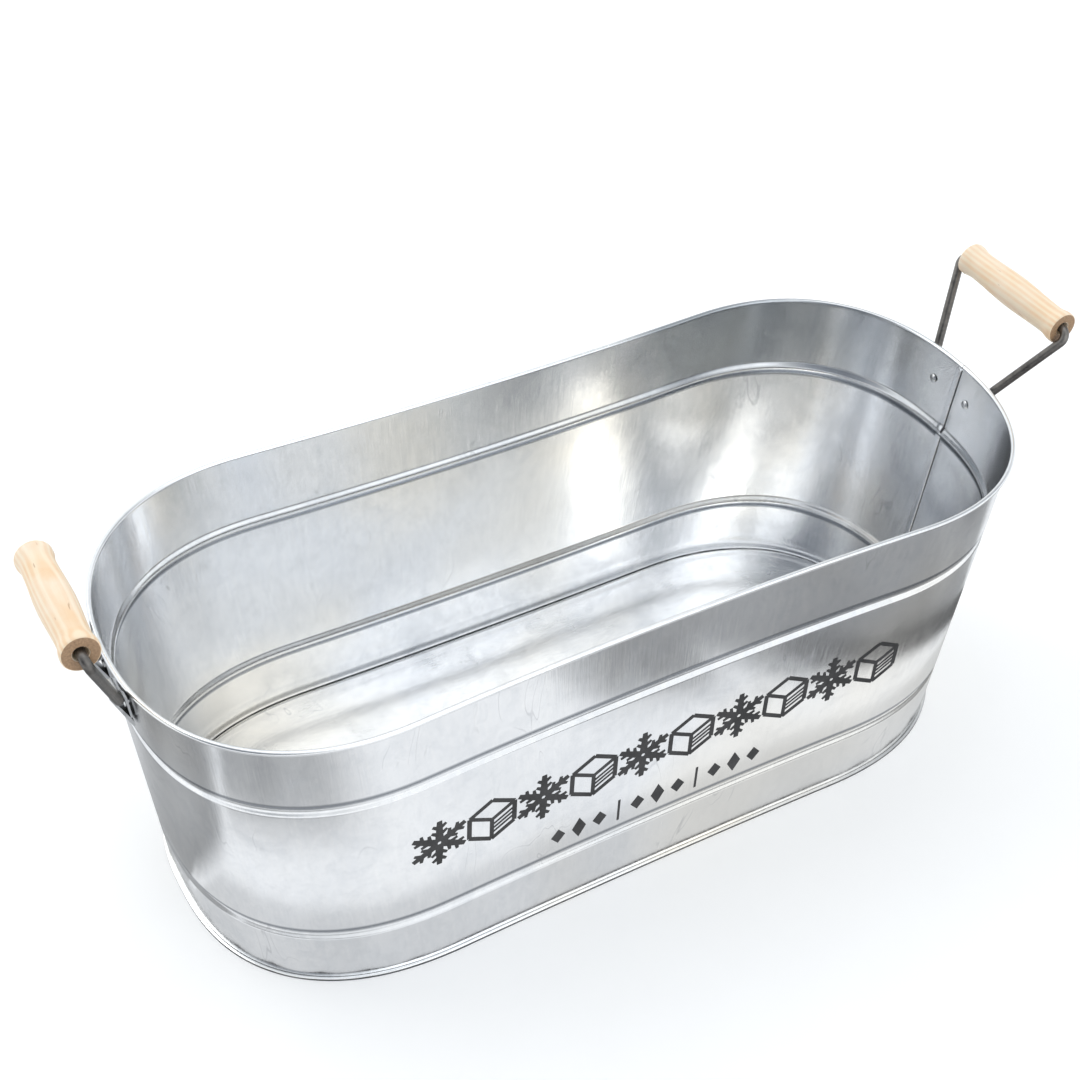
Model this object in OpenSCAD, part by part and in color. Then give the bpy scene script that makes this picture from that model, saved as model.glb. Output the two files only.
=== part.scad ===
// Oval drinks tub: one tapered sheet wall with a wired rim and two rolled beads,
// a seamed-in bottom pan, and a wire bail with a turned wooden grip at each end.
// X runs along the tub, Z up, origin at the middle of the base, on the table.

/* [Tub] */
// Half length of the rim, to the middle of its rolled edge
rim_half_l = 283; // [240:1:330]
// Half width that the rim's round ends aim for
rim_half_w = 126.8; // [110:0.2:140]
// Height of the middle of the rolled edge above the table
rim_z = 211.7; // [190:0.1:240]
// How far each end leans in from the rim down to the base
end_taper = 20.3; // [12:0.1:28]
// How far each long side leans in from the rim down to the base
side_taper = 7.4; // [4:0.1:12]
// How far the rim dips at each end
end_drop = 2; // [0:0.1:4]
// Thickness of the tub's sheet
sheet_t = 0.6; // [0.5:0.05:0.7]

/* [Rim and beads] */
// Radius of the wire that the rim is rolled round
rim_wire_r = 0.9; // [0.7:0.05:1.1]
// Height of the middle of the upper bead
bead_upper_z = 160.7; // [140:0.1:175]
// Height of the middle of the lower bead
bead_lower_z = 45.7; // [30:0.1:70]
// How far a bead stands into the tub
bead_depth = 1.6; // [1:0.1:2.2]
// Height of a bead from edge to edge
bead_h = 9; // [7:0.5:12]

/* [Handles] */
// Diameter of the bail wire
wire_d = 5.5; // [4.5:0.1:6]
// Distance of a bail's pivot from the middle of the tub
pivot_x = 285.5; // [285:0.1:287]
// Height of a bail's pivot above the table
pivot_z = 200.5; // [198:0.1:202]
// Distance from a bail's pivot to the middle of its grip
bail_reach = 62.5; // [58:0.1:68]
// Lean of the right bail, outward from upright, in degrees
lean_right = 29.5; // [10:0.5:60]
// Lean of the left bail, outward from upright, in degrees
lean_left = 17; // [10:0.5:60]
// How much shorter the left bail's back leg is than its front leg
skew_left = 11; // [0:0.5:12]
// Length of a wooden grip
grip_l = 88; // [82:1:88]
// Diameter of a grip at its middle and at its ends
grip_d = 20.6; // [19:0.1:21]

/* [Hidden] */

// Plan of the tub: round ends on bowed sides, blended from the base up to the rim.
rim_straight = 158.8;       // half length of the sides at the rim
base_straight = 127.9;      // half length of the sides at the base
rim_power = 2.2;            // squareness of the round ends at the rim
base_power = 2.4;           // squareness of the round ends at the base
rim_bow = -13;              // how far the sides draw in at their middle, at the rim
base_bow = -5;              // the same at the base
end_steps = 12;             // facets in a quarter of a round end
side_steps = 4;             // facets in half of a long side

// The lock seam stands inside the wall, at the middle of the right end.
seam_y0 = -4.5;
seam_y1 = 0.5;
seam_t = 0.8;

// Rolled edge: the sheet goes up inside the wire, over it and back under it.
curl_gap = 0.1;                             // play between the rim wire and the sheet
curl_in = rim_wire_r + curl_gap;            // inner radius of the rolled edge
curl_out = curl_in + sheet_t;               // outer radius of the rolled edge
wall_out = -curl_in;                        // outer face of the wall, from the plan
wall_in = -curl_out;                        // inner face of the wall, from the plan

// Base seam: the pan folds under, up and over the wall's outward flange.
floor_z = 3;                // underside of the floor above the table
flange_z = 1.3;             // underside of the wall's flange
flange_w = 0.2;             // edge of the wall's flange, from the plan
chime_w = 0.9;              // outside of the base seam, from the plan
chime_h = 2.6;              // height of the base seam
play = 0.1;                 // play between the folded sheets

// Ear: a strap folded over the bail's peg, its two legs against the wall.
strap_t = 1.2;
strap_w = 10;
ear_y = 16;                 // middle of each ear, from the middle of the end
rivet_z = 189.5;
peg_play = 0.08;            // running play of the peg in the ear
leg_foot = 14.6;            // foot of the outer leg, below the rivet
leg_end = 8;                // end of the inner leg, below the rivet
rivet_r = 1.5;
rivet_head_r = 2.8;
rivet_head_h = 1.2;

wire_r = wire_d / 2;
peg_end = 10;               // inner end of a bail's peg
foot_y = 25.3;              // corner between the peg and the leg
top_y = 51.6;               // corner between the leg and the grip's wire
bend_r = 5.5;               // middle-line radius of the wire's bends
lap = 0.3;                  // how far a straight run reaches into a bend
swell = 0.02;               // a bend is this much fatter than the straight wire
bore_r = 4.3;               // bore of a grip
waist_d = 18.4;             // diameter of a grip at its two waists
waist_y = 33;               // distance of the waists from the grip's middle
grip_slide = 1.2;           // how far a grip slides down a slanting wire

// ---- plan and wall geometry ----

function blend(low, high, z) = low + (high - low) * z / rim_z;

// Points are counted round the plan: 0 to end_steps is a quarter end, then half a side.
quarter = end_steps + side_steps;
plan_n = 4 * quarter;

// One point of the first quadrant at step i, with sizes for height z.
function quadrant(i, z) =
    let (
        half_l = blend(rim_half_l - end_taper, rim_half_l, z),
        half_w = blend(rim_half_w - side_taper, rim_half_w, z),
        straight = blend(base_straight, rim_straight, z),
        power = blend(base_power, rim_power, z),
        bow = blend(base_bow, rim_bow, z),
        a = 90 * min(i, end_steps) / end_steps,
        on_end = i <= end_steps,
        x = on_end
            ? straight + (half_l - straight) * pow(cos(a), 2 / power)
            : straight * (quarter - i) / side_steps,
        y = on_end ? half_w * pow(sin(a), 2 / power) : half_w
    )
    i == 0 ? [half_l, 0] : [x, y + bow * (1 - pow(x / half_l, 2))];

// Plan point k of plan_n, counter-clockwise from the right end.
function plan_point(k, z) =
    let (q = floor(k / quarter) % 4, i = k % quarter)
    q == 0 ? quadrant(i, z)
    : q == 1 ? let (p = quadrant(quarter - i, z)) [-p.x, p.y]
    : q == 2 ? -quadrant(i, z)
    : let (p = quadrant(quarter - i, z)) [p.x, -p.y];

// Outward direction of the plan at point k.
function plan_normal(k, z) =
    let (
        t = plan_point((k + 1) % plan_n, z) - plan_point((k + plan_n - 1) % plan_n, z)
    )
    [t.y, -t.x] / norm(t);

// Point k of the plan for height z, moved outward by d.
function flat_point(k, z, d) = plan_point(k, z) + d * plan_normal(k, z);

// The same on the wall, whose height dips towards the ends.
function wall_point(k, z, d) =
    let (p = flat_point(k, z, d))
    [p.x, p.y, z - end_drop * pow(abs(p.x) / rim_half_l, 3) * z / rim_z];

// Plan x of the right end at distance y from its middle and at true height h, moved outward by d.
function end_x(y, h, d) =
    let (
        z = h * rim_z / (rim_z - end_drop),
        half_l = blend(rim_half_l - end_taper, rim_half_l, z),
        half_w = blend(rim_half_w - side_taper, rim_half_w, z),
        straight = blend(base_straight, rim_straight, z),
        power = blend(base_power, rim_power, z)
    )
    straight + (half_l - straight) * pow(1 - pow(abs(y) / half_w, power), 1 / power) + d;

end_lean = atan(end_taper / rim_z);

// ---- swept rings ----

// A closed ring: profile is a loop of [d, z], swept round the plan.
module ring(profile) {
    m = len(profile);
    points = [
        for (k = [0 : plan_n - 1])
            for (p = profile)
                wall_point(k, p[1], p[0])
    ];
    faces = [
        for (k = [0 : plan_n - 1])
            for (j = [0 : m - 1])
                let (
                    k2 = (k + 1) % plan_n,
                    j2 = (j + 1) % m
                )
                for (half = [0, 1])
                    half == 0
                        ? [k * m + j, k2 * m + j2, k * m + j2]
                        : [k * m + j, k2 * m + j, k2 * m + j2]
    ];
    polyhedron(points, faces, convexity = 8);
}

// Stations of one bead on the face that lies at d, from its bottom up.
function bead(z, d) = [
    [d, z - bead_h / 2],
    [d - bead_depth, z - bead_h / 6],
    [d - bead_depth, z + bead_h / 6],
    [d, z + bead_h / 2]
];

function flipped(list) = [for (i = [len(list) - 1 : -1 : 0]) list[i]];

// Arc of the rolled edge with radius r, from angle a0 to a1 in equal steps.
function curl(r, a0, a1, steps) = [
    for (i = [0 : steps])
        let (a = a0 + (a1 - a0) * i / steps)
        [r * cos(a), rim_z + r * sin(a)]
];

wall_profile = concat(
    [[wall_in, flange_z]],
    bead(bead_lower_z, wall_in),
    bead(bead_upper_z, wall_in),
    curl(curl_out, 180, -90, 6),
    curl(curl_in, -90, 180, 6),
    flipped(bead(bead_upper_z, wall_out)),
    flipped(bead(bead_lower_z, wall_out)),
    [[wall_out, flange_z + sheet_t]],
    [[flange_w, flange_z + sheet_t]],
    [[flange_w, flange_z]]
);

// Flat plate with the plan's outline for height z, moved outward by d.
module plate(z, d) {
    polygon([for (k = [0 : plan_n - 1]) flat_point(k, z, d)]);
}

// Flat band between two distances from the plan, from height z0 up to z1.
module band(d_in, d_out, z0, z1) {
    translate([0, 0, z0])
        linear_extrude(height = z1 - z0)
            difference() {
                plate((z0 + z1) / 2, d_out);
                plate((z0 + z1) / 2, d_in);
            }
}

rim_wire_profile = [
    for (i = [0 : 7])
        [rim_wire_r * cos(-45 * i), rim_z + rim_wire_r * sin(-45 * i)]
];

// ---- placing things at the ends ----

// Side is 1 for the right end and -1 for the left, row is 1 for the back and -1 for the front.
module at_end(side) {
    mirror([side > 0 ? 0 : 1, 0, 0]) children();
}

// An ear is flat, so it meets the curved wall along the edge nearer the tub's middle.
ear_x = end_x(ear_y - strap_w / 2, rivet_z, wall_out + play);

// Frame on the back of an ear: X off the wall, Z up along it, origin at the rivet.
module on_wall(side, row) {
    at_end(side)
        translate([ear_x, row * ear_y, rivet_z])
            rotate([0, end_lean, 0])
                children();
}

// Pivot of a bail in that frame.
pivot_dx = pivot_x - ear_x;
pivot_dz = pivot_z - rivet_z;
pivot_u = pivot_dx * cos(end_lean) - pivot_dz * sin(end_lean);
pivot_w = pivot_dx * sin(end_lean) + pivot_dz * cos(end_lean);

// Cylinder along Y through a point of that frame.
module along_y(u, w, r, length) {
    translate([u, 0, w])
        rotate([90, 0, 0])
            cylinder(r = r, h = length, center = true, $fn = 64);
}

// Sheet outline in X and Z, as wide along Y as the strap.
module strap(outline) {
    rotate([90, 0, 0])
        linear_extrude(height = strap_w, center = true)
            polygon(outline);
}

// ---- sub-parts ----

// Sheet wall with its beads, rolled edge, lock seam and rivet holes
module tub_wall() {
    color("#c9ced3")
        difference() {
            union() {
                ring(wall_profile);
                lock_seam();
            }
            for (side = [-1, 1])
                for (row = [-1, 1])
                    on_wall(side, row)
                        rotate([0, 90, 0])
                            cylinder(r = rivet_r + 0.05, h = 8, center = true, $fn = 32);
        }
}

// Folded edges of the wall's sheet, standing inside between the base and the rim
module lock_seam() {
    // Each station is a height and how far a bead carries the seam into the tub.
    stations = [
        [6, 0],
        [bead_lower_z - bead_h / 2, 0],
        [bead_lower_z - bead_h / 6, bead_depth],
        [bead_lower_z + bead_h / 6, bead_depth],
        [bead_lower_z + bead_h / 2, 0],
        [bead_upper_z - bead_h / 2, 0],
        [bead_upper_z - bead_h / 6, bead_depth],
        [bead_upper_z + bead_h / 6, bead_depth],
        [bead_upper_z + bead_h / 2, 0],
        [rim_z - 4, 0]
    ];
    function edge(z, d) = [for (y = [seam_y0, seam_y1]) [end_x(y, z, d), y, z]];
    function section(z, in) = concat(
        edge(z, wall_in + sheet_t / 2 - in),
        flipped(edge(z, wall_in - seam_t - in))
    );
    n = len(stations);
    points = [for (s = stations) each section(s[0], s[1])];
    sides = [
        for (i = [0 : n - 2])
            for (j = [0 : 3])
                let (j2 = (j + 1) % 4)
                for (half = [0, 1])
                    half == 0
                        ? [4 * i + j, 4 * i + 4 + j2, 4 * i + j2]
                        : [4 * i + j, 4 * i + 4 + j, 4 * i + 4 + j2]
    ];
    last = 4 * (n - 1);
    polyhedron(points, concat(sides, [[0, 1, 2, 3], [last + 3, last + 2, last + 1, last]]));
}

// Floor with the folded seam round its edge, each layer lapped into the next
module bottom_pan() {
    hook_z = flange_z + sheet_t + play;
    riser = -4;
    color("#b9bfc5") {
        band(riser - sheet_t, chime_w, 0, sheet_t);
        band(flange_w + play, chime_w - 0.02, sheet_t / 2, chime_h);
        band(wall_out + play, chime_w - 0.04, hook_z, chime_h - 0.02);
        band(riser - sheet_t + 0.02, riser - 0.02, sheet_t / 2, floor_z + sheet_t - 0.02);
        translate([0, 0, floor_z])
            linear_extrude(height = sheet_t)
                plate(floor_z, riser - 0.04);
    }
}

// Wire inside the rolled edge
module rim_wire() {
    color("#8d9297") ring(rim_wire_profile);
}

// Folded strap that carries one end of a bail
module ear(side, row) {
    outer_r = wire_r + peg_play + strap_t;
    inner_leg = [
        [0, -leg_end],
        [strap_t, -leg_end],
        [strap_t, pivot_w - 5.5],
        [pivot_u - outer_r + strap_t, pivot_w - 1],
        [pivot_u - outer_r + strap_t, pivot_w],
        [pivot_u - outer_r, pivot_w],
        [0, pivot_w - 4]
    ];
    outer_leg = [
        [0, -leg_foot],
        [strap_t, -leg_foot],
        [pivot_u + outer_r, pivot_w - 1],
        [pivot_u + outer_r, pivot_w],
        [pivot_u + outer_r - strap_t, pivot_w],
        [pivot_u + outer_r - strap_t, pivot_w - 1],
        [0, -leg_foot + 3]
    ];
    color("#a9aeb3")
        on_wall(side, row)
            difference() {
                union() {
                    strap(inner_leg);
                    strap(outer_leg);
                    along_y(pivot_u, pivot_w, outer_r, strap_w);
                }
                along_y(pivot_u, pivot_w, wire_r + peg_play, strap_w + 2);
                rotate([0, 90, 0])
                    cylinder(r = rivet_r + 0.05, h = 2 * strap_t + 1, center = true, $fn = 32);
            }
}

// Solid rivet with a head inside the tub and a flatter one on the ear
module rivet(side, row) {
    head_in = ear_x - end_x(ear_y + rivet_head_r, rivet_z, wall_in) + 3 * play;
    dome_r = (rivet_head_r * rivet_head_r + rivet_head_h * rivet_head_h) / (2 * rivet_head_h);
    color("#d4d8dc")
        on_wall(side, row)
            rotate([0, 90, 0]) {
                translate([0, 0, -head_in])
                    cylinder(r = rivet_r, h = head_in + strap_t + 0.2, $fn = 32);
                translate([0, 0, strap_t + 0.05])
                    cylinder(r = rivet_head_r, h = 0.9, $fn = 32);
                intersection() {
                    translate([0, 0, dome_r - head_in - rivet_head_h])
                        sphere(r = dome_r, $fn = 64);
                    translate([0, 0, -head_in - rivet_head_h])
                        cylinder(r = rivet_head_r, h = rivet_head_h, $fn = 32);
                }
            }
}

// Straight run of wire in the bail's plane, between two [y, h] points
module wire_run(from, to) {
    d = to - from;
    translate([0, from.x, from.y])
        rotate([-atan2(d.x, d.y), 0, 0])
            cylinder(r = wire_r, h = norm(d), $fn = 48);
}

// Bend of wire about a [y, h] centre, from angle a0 through turn degrees
module wire_bend(centre, a0, turn) {
    translate([0, centre.x, centre.y])
        rotate([90, 0, 90])
            rotate([0, 0, a0])
                rotate_extrude(angle = turn, $fn = 96)
                    translate([bend_r, 0])
                        circle(r = wire_r + swell, $fn = 48);
}

// Wire along a chain of [y, h] points that turns one way, with each corner bent
module wire(chain) {
    last = len(chain) - 1;
    function heading(i) = atan2(chain[i + 1].y - chain[i].y, chain[i + 1].x - chain[i].x);
    function turn(i) = (heading(i) - heading(i - 1) + 720) % 360;
    function along(i) = [cos(heading(i)), sin(heading(i))];
    function cut(i) = bend_r * tan(turn(i) / 2);
    for (i = [0 : last - 1]) {
        from = i == 0 ? chain[0] : chain[i] + (cut(i) - lap) * along(i);
        to = i == last - 1 ? chain[last] : chain[i + 1] - (cut(i + 1) - lap) * along(i);
        wire_run(from, to);
    }
    for (i = [1 : last - 1]) {
        start = chain[i] - cut(i) * along(i - 1);
        left = [-sin(heading(i - 1)), cos(heading(i - 1))];
        wire_bend(start + bend_r * left, heading(i - 1) - 90, turn(i));
    }
}

module at_pivot(side, lean) {
    at_end(side)
        translate([pivot_x, 0, pivot_z])
            rotate([0, lean, 0])
                children();
}

// Bent wire bail, from the back peg up, across and down to the front peg
module bail(side, lean, skew) {
    color("#5d5b58")
        at_pivot(side, lean)
            wire([
                [peg_end, 0],
                [foot_y, 0],
                [top_y, bail_reach - skew],
                [-top_y, bail_reach],
                [-foot_y, 0],
                [-peg_end, 0]
            ]);
}

// Radius of a grip at distance y from its middle: a full belly, two waists, flared ends
function grip_r(y) =
    let (
        belly = grip_d / 2,
        waist = waist_d / 2,
        a = abs(y) / waist_y
    )
    a <= 1
        ? waist + (belly - waist) * (0.5 + 0.5 * cos(180 * a))
        : waist + (belly - waist) * (1 - cos(90 * min(1, (abs(y) - waist_y) / 7)));

// Turned wooden grip with its bore
module grip(side, lean, skew) {
    half = grip_l / 2;
    chamfer = 0.8;
    stations = [for (i = [-14 : 14]) i * (half - chamfer) / 14];
    outline = concat(
        [[bore_r, -half], [grip_r(half) - chamfer, -half]],
        [for (y = stations) [grip_r(y), y]],
        [[grip_r(half) - chamfer, half], [bore_r, half]]
    );
    color("#e9c797")
        at_pivot(side, lean)
            translate([0, 0, bail_reach - skew / 2])
                rotate([-90 - atan(skew / 2 / top_y), 0, 0])
                    translate([0, 0, skew > 0 ? grip_slide : 0])
                        rotate_extrude($fn = 64)
                            polygon(outline);
}

tub_wall();
bottom_pan();
rim_wire();
ear(-1, -1);  // ear_left_front
ear(-1, 1);  // ear_left_back
ear(1, -1);  // ear_right_front
ear(1, 1);  // ear_right_back
rivet(-1, -1);  // rivet_left_front
rivet(-1, 1);  // rivet_left_back
rivet(1, -1);  // rivet_right_front
rivet(1, 1);  // rivet_right_back
bail(-1, lean_left, skew_left);  // bail_left
bail(1, lean_right, 0);  // bail_right
grip(-1, lean_left, skew_left);  // grip_left
grip(1, lean_right, 0);  // grip_right
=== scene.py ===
"""Oval drinks tub of galvanised sheet, with wire bails and turned wooden grips.

Named sizes are in millimetres unless they say otherwise; meshes are made in metres.
"""

import math

import bmesh
import bpy
from mathutils import Matrix, Vector


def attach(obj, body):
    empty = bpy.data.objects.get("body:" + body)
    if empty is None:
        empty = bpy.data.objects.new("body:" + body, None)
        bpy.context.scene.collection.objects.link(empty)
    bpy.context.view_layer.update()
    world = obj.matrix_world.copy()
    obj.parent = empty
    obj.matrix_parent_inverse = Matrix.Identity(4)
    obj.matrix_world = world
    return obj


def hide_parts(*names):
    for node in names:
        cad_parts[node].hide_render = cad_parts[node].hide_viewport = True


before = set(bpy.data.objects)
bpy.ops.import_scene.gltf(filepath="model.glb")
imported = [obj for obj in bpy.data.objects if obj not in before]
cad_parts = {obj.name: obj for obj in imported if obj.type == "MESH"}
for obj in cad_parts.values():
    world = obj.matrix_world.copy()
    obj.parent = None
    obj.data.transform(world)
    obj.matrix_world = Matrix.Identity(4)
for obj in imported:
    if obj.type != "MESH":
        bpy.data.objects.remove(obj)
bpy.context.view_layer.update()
MM = 0.001


# ---------------------------------------------------------------- plan of the tub

RIM_Z = 211.7  # height of the rim's middle line, before its dip at the ends
RIM_HALF_L = 283.0
END_DROP = 2.0  # dip of the rim at the two ends
# Plan at the base and at the rim: half length, half width, straight half length,
# squareness of the rounded ends and bow of the long sides.
BASE_PLAN = (262.7, 119.4, 127.9, 2.4, -5.0)
RIM_PLAN = (RIM_HALF_L, 126.8, 158.8, 2.2, -13.0)
END_STEPS = 34  # steps round a quarter's end and along its side
SIDE_STEPS = 18
QUARTER = END_STEPS + SIDE_STEPS
AROUND = 4 * QUARTER


def plan_sizes(z):
    """Half length, half width, straight half length, squareness and bow at height z, in mm."""
    return [base + (rim - base) * z / RIM_Z for base, rim in zip(BASE_PLAN, RIM_PLAN)]


def quadrant(i, z):
    """Point i of a quarter of the plan at height z, from the end's tip to the side's middle."""
    half_l, half_w, straight, power, bow = plan_sizes(z)
    if i == 0:
        return half_l, 0.0
    if i <= END_STEPS:
        angle = math.radians(90 * i / END_STEPS)
        cosine, sine = max(0.0, math.cos(angle)), math.sin(angle)
        x = straight + (half_l - straight) * cosine ** (2 / power)
        y = half_w * sine ** (2 / power)
    else:
        x = straight * (QUARTER - i) / SIDE_STEPS
        y = half_w
    return x, y + bow * (1 - (x / half_l) ** 2)


def plan_ring(z):
    """Points of the plan at height z and their outward directions, in mm."""
    points = []
    for k in range(AROUND):
        q, i = divmod(k, QUARTER)
        x, y = quadrant(i if q % 2 == 0 else QUARTER - i, z)
        points.append(Vector((x if q in (0, 3) else -x, y if q < 2 else -y)))
    normals = []
    for k in range(AROUND):
        tangent = points[(k + 1) % AROUND] - points[k - 1]
        normals.append(Vector((tangent.y, -tangent.x)).normalized())
    return points, normals


RINGS = {}


def ring_at(z):
    """The plan's ring at height z, worked out once for each height."""
    key = round(z, 4)
    if key not in RINGS:
        RINGS[key] = plan_ring(z)
    return RINGS[key]


def drop(x, z):
    """How far the wall dips below its height z at distance x from the tub's middle, in mm."""
    return END_DROP * (abs(x) / RIM_HALF_L) ** 3 * z / RIM_Z


def end_x(y, h):
    """Half length of the plan at y from an end's middle and at true height h, in mm."""
    half_l, half_w, straight, power, _ = plan_sizes(h * RIM_Z / (RIM_Z - END_DROP))
    reach = (1 - (abs(y) / half_w) ** power) ** (1 / power)
    return straight + (half_l - straight) * reach


# ---------------------------------------------------------------- mesh helpers


def new_object(name, verts, faces, uvs=None, sharp=38):
    """A smooth mesh whose edges sharper than this many degrees stay sharp."""
    mesh = bpy.data.meshes.new(name)
    mesh.from_pydata([tuple(v) for v in verts], [], faces)
    mesh.validate()
    if uvs:
        layer = mesh.uv_layers.new(name="UVMap")
        for loop in mesh.loops:
            layer.data[loop.index].uv = uvs[loop.vertex_index]
    mesh.shade_smooth()
    mesh.set_sharp_from_angle(angle=math.radians(sharp))
    obj = bpy.data.objects.new(name, mesh)
    bpy.context.scene.collection.objects.link(obj)
    return obj


def outward(obj):
    """Turns the faces of a closed mesh outward."""
    bm = bmesh.new()
    bm.from_mesh(obj.data)
    bmesh.ops.recalc_face_normals(bm, faces=bm.faces)
    bm.to_mesh(obj.data)
    bm.free()


def sweep(name, profile, height, closed=True, painted_shade=None):
    """Sweeps a profile of (d, z) round the plan: d outward, z up, in mm.

    height(p, d, z) gives a point's true height, and the last argument the painted shade of each
    profile point, how far its colour is darkened to stand for shade.
    """
    rows = len(profile)
    verts, uvs = [], []
    lengths = [0.0]
    points, _ = ring_at(RIM_Z)
    for k in range(AROUND):
        lengths.append(lengths[-1] + (points[(k + 1) % AROUND] - points[k]).length)
    run = [0.0]
    for (d0, z0), (d1, z1) in zip(profile, profile[1:]):
        run.append(run[-1] + math.hypot(d1 - d0, z1 - z0))
    for k in range(AROUND):
        for j, (d, z) in enumerate(profile):
            ring, normals = ring_at(z)
            p = ring[k] + normals[k] * d
            verts.append(Vector((p.x, p.y, height(p, d, z))) * MM)
            uvs.append((lengths[k] * MM, run[j] * MM))
    faces = []
    for k in range(AROUND):
        k2 = (k + 1) % AROUND
        for j in range(rows if closed else rows - 1):
            j2 = (j + 1) % rows
            faces.append((k * rows + j, k2 * rows + j, k2 * rows + j2, k * rows + j2))
    obj = new_object(name, verts, faces, uvs)
    if painted_shade:
        # the attribute holds the painted shade of each point
        layer = obj.data.attributes.new("painted_shade", "FLOAT", "POINT")
        for i in range(len(verts)):
            layer.data[i].value = painted_shade[i % rows]
    return obj


def curl(radius, start, end, steps):
    """Arc of the rolled rim between two angles in degrees, as (d, z)."""
    arc = []
    for i in range(steps + 1):
        angle = math.radians(start + (end - start) * i / steps)
        arc.append((radius * math.cos(angle), RIM_Z + radius * math.sin(angle)))
    return arc


BEADS = (45.7, 160.7)  # heights of the beads' middles
BEAD_H = 9.0
BEAD_DEPTH = 1.75
BEAD_ROWS = 8  # rows of points in half a bead's height
PLAIN_STEP = 12  # largest gap between rows elsewhere
SHEET = 0.6
CURL_IN = 1.0  # inside radius of the rolled rim
CURL_OUT = CURL_IN + SHEET
CURL_FOOT = 3.2  # from the rim's middle line down to the row where the curl begins


def bead_in(z):
    """How far the beads push the sheet into the tub at height z, in mm."""
    for middle in BEADS:
        u = abs(z - middle) / (BEAD_H / 2)
        if u < 1:
            return BEAD_DEPTH * (0.5 + 0.5 * math.cos(math.pi * u)) ** 0.75
    return 0.0


def wall_heights(low, high):
    """Heights up the wall, close together over the beads."""
    reach = BEAD_ROWS * 3 // 2
    marks = [low]
    for middle in BEADS:
        marks += [middle + BEAD_H / 2 * i / BEAD_ROWS for i in range(-reach, reach + 1)]
    marks += [RIM_Z - CURL_FOOT, high]
    heights = []
    for a, b in zip(marks, marks[1:]):
        steps = max(1, round((b - a) / PLAIN_STEP))
        heights += [a + (b - a) * i / steps for i in range(steps)]
    return heights + [high]


BEAD_SHADE_FROM = 0.1  # painted shade band beside a bead, where the bead shades the sheet, in half bead heights from the bead's middle
BEAD_SHADE_SPAN = 1.3
FOOT_PAINTED_SHADE = 0.28  # painted shade inside at the wall's foot, which fades out up to this height
FOOT_SHADE_H = 48
FOOT_INSIDE, FOOT_OUTSIDE = 1.3, 1.9  # heights of the two faces of the flange at the foot
FLANGE_OUT = 0.2
WALL_TOP = RIM_Z - 1.2  # where the curl takes over from the wall


def bead_painted_shade(z, side):
    """How much painted shade the sheet gets on the side of a bead: below it inside (-1), above it
    outside (1).
    """
    for middle in BEADS:
        u = side * (z - middle) / (BEAD_H / 2)
        if BEAD_SHADE_FROM < u < BEAD_SHADE_FROM + BEAD_SHADE_SPAN:
            return math.sin(math.pi * (u - BEAD_SHADE_FROM) / BEAD_SHADE_SPAN) ** 0.5
    return 0.0


def wall_profile():
    """Section of the wall as (d, z), with each point's painted shade: beside the beads, at the
    foot, under the rolled rim and on the flange.
    """
    inner = wall_heights(FOOT_INSIDE, WALL_TOP)
    outer = wall_heights(FOOT_OUTSIDE, WALL_TOP)[::-1]
    over, under = curl(CURL_OUT, 180, -88, 22), curl(CURL_IN, -88, 180, 16)
    points = [(-CURL_OUT - bead_in(z), z) for z in inner] + over + under
    points += [(-CURL_IN - bead_in(z), z) for z in outer]
    points += [(FLANGE_OUT, FOOT_OUTSIDE), (FLANGE_OUT, FOOT_INSIDE)]
    painted_shade = [max(bead_painted_shade(z, -1), FOOT_PAINTED_SHADE * (1 - z / FOOT_SHADE_H)) for z in inner]
    # full painted shade inside the curl and on the wall just under it, and a lighter painted shadow
    # on the flange at the foot
    painted_shade += [0.0] * len(over) + [1.0] * len(under)
    painted_shade += [1.0] + [bead_painted_shade(z, 1) for z in outer[1:]] + [0.4, 0.4]
    return points, painted_shade


wall_points, wall_painted_shade = wall_profile()
wall = sweep("wall", wall_points, lambda p, d, z: z - drop(p.x, z), painted_shade=wall_painted_shade)
outward(wall)

FLOOR_EDGE = -60
# The pan's section, from its floor out to the folded seam and back underneath, as (d, z).
pan_profile = [
    (-60, 3.6), (-40, 3.6), (-20, 3.6), (-14, 3.58), (-12.6, 3.46), (-11.6, 3.46), (-10.2, 3.58),
    (-7.4, 3.6), (-6.2, 3.5), (-5.4, 3.2), (-4.7, 2.4), (-4.1, 1.4), (-3.5, 0.8), (-2.8, 0.62),
    (0.3, 0.6), (0.3, 2.0), (-0.9, 2.0), (-0.9, 2.6), (-0.75, 2.85), (0.6, 2.85), (0.8, 2.75),
    (0.9, 2.5), (0.9, 0.3), (0.8, 0.08), (0.6, 0.0), (-3.4, 0.0), (-4.0, 0.15), (-4.6, 0.9),
    (-5.4, 2.4), (-6.4, 3.0), (-20, 3.0), (-60, 3.0),
]
SWELL = 0.5  # how far the floor swells and dips, from its edge at this d and in full after a run
SWELL_EDGE = -7
SWELL_RUN = 30


def floor_height(p, d, z):
    """Height of the floor, which isn't quite flat inside its edge."""
    if d > SWELL_EDGE:
        return z
    rise = min(1.0, (SWELL_EDGE - d) / SWELL_RUN)
    return z + rise * SWELL * math.sin(p.x / 47 + 0.6) * math.cos(p.y / 31 + p.x / 90)


pan = sweep("pan", pan_profile, floor_height, closed=False)


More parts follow.
